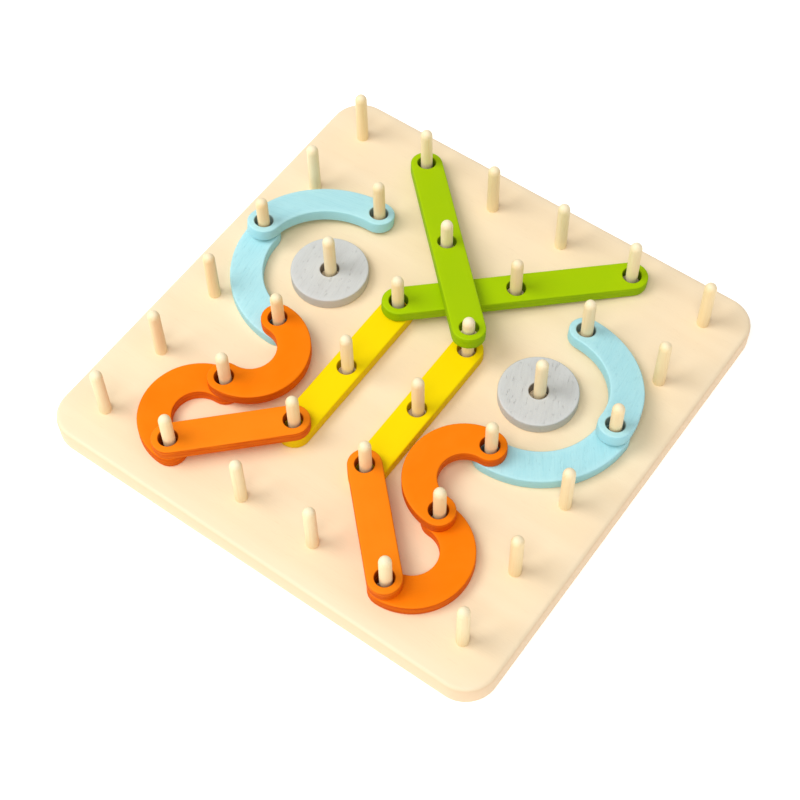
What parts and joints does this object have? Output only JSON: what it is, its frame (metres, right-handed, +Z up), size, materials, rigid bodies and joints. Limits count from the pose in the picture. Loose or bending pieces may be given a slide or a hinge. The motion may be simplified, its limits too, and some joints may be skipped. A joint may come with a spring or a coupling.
{
  "type": "wooden peg board shape puzzle",
  "caption": "Square wooden board with a grid of upright round pegs, and flat painted bars, arcs and discs whose drilled holes drop over the pegs to lay out a picture.",
  "frame": {"origin": "centre of the board's underside", "axes": "+Z up out of the board, +X across the columns of pegs from column a to column f, +Y up the rows from row 6 to row 1"},
  "size_m": [0.227, 0.227, 0.0415],
  "materials": {
    "board_wood": "sanded pale plywood with a thin clear satin coat",
    "peg_wood": "sanded pale dowel, uncoated",
    "orange_paint": "satin water paint over fine sanded wood",
    "yellow_paint": "satin water paint over fine sanded wood",
    "green_paint": "satin water paint over fine sanded wood",
    "blue_paint": "thin matt water stain over wood, with the grain showing",
    "grey_paint": "thin matt water stain over wood, with the grain showing"
  },
  "bodies": {
    "board": {"board": "board_wood", "peg_a1": "peg_wood", "peg_a2": "peg_wood", "peg_a3": "peg_wood", "peg_a4": "peg_wood", "peg_a5": "peg_wood", "peg_a6": "peg_wood", "peg_b1": "peg_wood", "peg_b2": "peg_wood", "peg_b3": "peg_wood", "peg_b4": "peg_wood", "peg_b5": "peg_wood", "peg_b6": "peg_wood", "peg_c1": "peg_wood", "peg_c2": "peg_wood", "peg_c3": "peg_wood", "peg_c4": "peg_wood", "peg_c5": "peg_wood", "peg_c6": "peg_wood", "peg_d1": "peg_wood", "peg_d2": "peg_wood", "peg_d3": "peg_wood", "peg_d4": "peg_wood", "peg_d5": "peg_wood", "peg_d6": "peg_wood", "peg_e1": "peg_wood", "peg_e2": "peg_wood", "peg_e3": "peg_wood", "peg_e4": "peg_wood", "peg_e5": "peg_wood", "peg_e6": "peg_wood", "peg_f1": "peg_wood", "peg_f2": "peg_wood", "peg_f3": "peg_wood", "peg_f4": "peg_wood", "peg_f5": "peg_wood", "peg_f6": "peg_wood"},
    "grey_disc_left": {"grey_disc_left": "grey_paint"},
    "grey_disc_right": {"grey_disc_right": "grey_paint"},
    "blue_arc_low_left": {"blue_arc_low_left": "blue_paint"},
    "blue_arc_low_right": {"blue_arc_low_right": "blue_paint"},
    "blue_arc_top_left": {"blue_arc_top_left": "blue_paint"},
    "blue_arc_top_right": {"blue_arc_top_right": "blue_paint"},
    "orange_arc_low_left": {"orange_arc_low_left": "orange_paint"},
    "orange_arc_low_right": {"orange_arc_low_right": "orange_paint"},
    "orange_arc_top_left": {"orange_arc_top_left": "orange_paint"},
    "orange_arc_top_right": {"orange_arc_top_right": "orange_paint"},
    "orange_bar_left": {"orange_bar_left": "orange_paint"},
    "orange_bar_right": {"orange_bar_right": "orange_paint"},
    "yellow_bar_left": {"yellow_bar_left": "yellow_paint"},
    "yellow_bar_right": {"yellow_bar_right": "yellow_paint"},
    "green_bar_low": {"green_bar_low": "green_paint"},
    "green_bar_top": {"green_bar_top": "green_paint"}
  },
  "joints": [
    {"name": "grey_disc_left_lift", "type": "slide", "parent": "board", "child": "grey_disc_left", "axis": [0, 0, 1], "range_m": [0, 0.029]},
    {"name": "grey_disc_right_lift", "type": "slide", "parent": "board", "child": "grey_disc_right", "axis": [0, 0, 1], "range_m": [0, 0.029]},
    {"name": "yellow_bar_left_lift", "type": "slide", "parent": "board", "child": "yellow_bar_left", "axis": [0, 0, 1], "range_m": [0, 0.029]},
    {"name": "yellow_bar_right_lift", "type": "slide", "parent": "board", "child": "yellow_bar_right", "axis": [0, 0, 1], "range_m": [0, 0.029]},
    {"name": "blue_arc_low_left_lift", "type": "slide", "parent": "board", "child": "blue_arc_low_left", "axis": [0, 0, 1], "range_m": [0, 0.029]},
    {"name": "blue_arc_low_right_lift", "type": "slide", "parent": "board", "child": "blue_arc_low_right", "axis": [0, 0, 1], "range_m": [0, 0.029]},
    {"name": "orange_arc_low_left_lift", "type": "slide", "parent": "board", "child": "orange_arc_low_left", "axis": [0, 0, 1], "range_m": [0, 0.029]},
    {"name": "orange_arc_low_right_lift", "type": "slide", "parent": "board", "child": "orange_arc_low_right", "axis": [0, 0, 1], "range_m": [0, 0.029]},
    {"name": "blue_arc_top_left_lift", "type": "slide", "parent": "blue_arc_low_left", "child": "blue_arc_top_left", "axis": [0, 0, 1], "range_m": [0, 0.0285]},
    {"name": "orange_arc_top_left_lift", "type": "slide", "parent": "orange_arc_low_left", "child": "orange_arc_top_left", "axis": [0, 0, 1], "range_m": [0, 0.023]},
    {"name": "orange_bar_left_lift", "type": "slide", "parent": "orange_arc_low_left", "child": "orange_bar_left", "axis": [0, 0, 1], "range_m": [0, 0.023]},
    {"name": "blue_arc_top_right_lift", "type": "slide", "parent": "blue_arc_low_right", "child": "blue_arc_top_right", "axis": [0, 0, 1], "range_m": [0, 0.0285]},
    {"name": "orange_arc_top_right_lift", "type": "slide", "parent": "orange_arc_low_right", "child": "orange_arc_top_right", "axis": [0, 0, 1], "range_m": [0, 0.023]},
    {"name": "orange_bar_right_lift", "type": "slide", "parent": "orange_arc_low_right", "child": "orange_bar_right", "axis": [0, 0, 1], "range_m": [0, 0.023]},
    {"name": "green_bar_low_lift", "type": "slide", "parent": "yellow_bar_left", "child": "green_bar_low", "axis": [0, 0, 1], "range_m": [0, 0.0285]},
    {"name": "green_bar_top_lift", "type": "slide", "parent": "green_bar_low", "child": "green_bar_top", "axis": [0, 0, 1], "range_m": [0, 0.0285]}
  ],
  "couplings": [
    {"joint": "yellow_bar_right_lift", "follows": "yellow_bar_left_lift", "ratio": 1},
    {"joint": "blue_arc_low_left_lift", "follows": "yellow_bar_left_lift", "ratio": 1},
    {"joint": "blue_arc_low_right_lift", "follows": "yellow_bar_left_lift", "ratio": 1},
    {"joint": "orange_arc_low_left_lift", "follows": "yellow_bar_left_lift", "ratio": 1},
    {"joint": "orange_arc_low_right_lift", "follows": "yellow_bar_left_lift", "ratio": 1}
  ]
}
